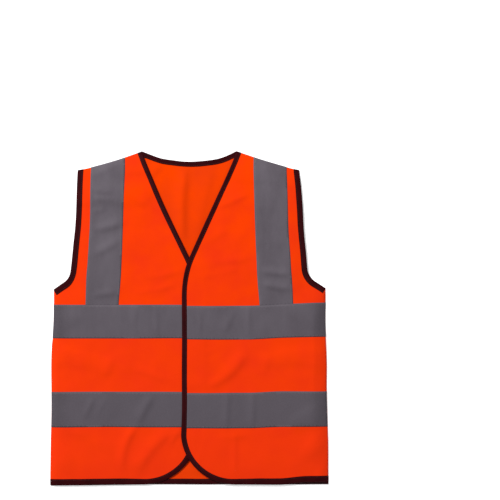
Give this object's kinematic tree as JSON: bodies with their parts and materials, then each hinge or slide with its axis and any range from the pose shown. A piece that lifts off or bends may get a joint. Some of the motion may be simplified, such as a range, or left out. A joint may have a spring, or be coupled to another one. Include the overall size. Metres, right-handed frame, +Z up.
{
  "type": "high visibility vest",
  "caption": "Sleeveless V-neck high visibility vest with reflective bands and braces, bound edges and a hook-and-loop front, laid flat.",
  "frame": {"origin": "centre of the bounding box at its base, on the surface that the vest lies on", "axes": "+Z up from the back panel to the fronts, +Y from the hem to the neck, +X towards the wearer's left"},
  "size_m": [0.433, 0.521, 0.0098],
  "materials": {
    "knit_cloth": "matte",
    "reflective_tape": "matte",
    "binding": "matte",
    "hook": "matte",
    "loop": "matte",
    "thread": "matte",
    "seam_allowance": "matte"
  },
  "bodies": {
    "vest_body": {"back_panel": "knit_cloth", "back_upper_band": "reflective_tape", "back_lower_band": "reflective_tape", "left_back_brace": "reflective_tape", "right_back_brace": "reflective_tape", "back_hem_binding": "binding", "neck_binding": "binding", "left_front_side": "knit_cloth", "left_upper_band_side": "reflective_tape", "left_lower_band_side": "reflective_tape", "left_front_brace": "reflective_tape", "left_hem_binding_side": "binding", "left_armhole_binding": "binding", "left_side_seam": "seam_allowance", "left_shoulder_seam": "seam_allowance", "left_side_thread": "thread", "right_front_side": "knit_cloth", "right_upper_band_side": "reflective_tape", "right_lower_band_side": "reflective_tape", "right_front_brace": "reflective_tape", "right_hem_binding_side": "binding", "right_armhole_binding": "binding", "right_side_seam": "seam_allowance", "right_shoulder_seam": "seam_allowance", "right_side_thread": "thread"},
    "left_flap": {"left_front_flap": "knit_cloth", "left_upper_band_flap": "reflective_tape", "left_lower_band_flap": "reflective_tape", "left_edge_binding": "binding", "left_flap_thread": "thread", "hook_strip": "hook"},
    "right_flap": {"right_front_flap": "knit_cloth", "right_upper_band_flap": "reflective_tape", "right_lower_band_flap": "reflective_tape", "right_edge_binding": "binding", "right_flap_thread": "thread", "loop_strip": "loop"}
  },
  "joints": [
    {"name": "left_front_fold", "type": "hinge", "parent": "vest_body", "child": "left_flap", "pos_m": [0.0206, 0.1335, 0.0104], "axis": [-0.3851, 0.9229, 0], "range_deg": [0, 180]},
    {"name": "right_front_fold", "type": "hinge", "parent": "vest_body", "child": "right_flap", "pos_m": [-0.0206, 0.1335, 0.0075], "axis": [-0.3851, -0.9229, 0], "range_deg": [0, 180]}
  ]
}
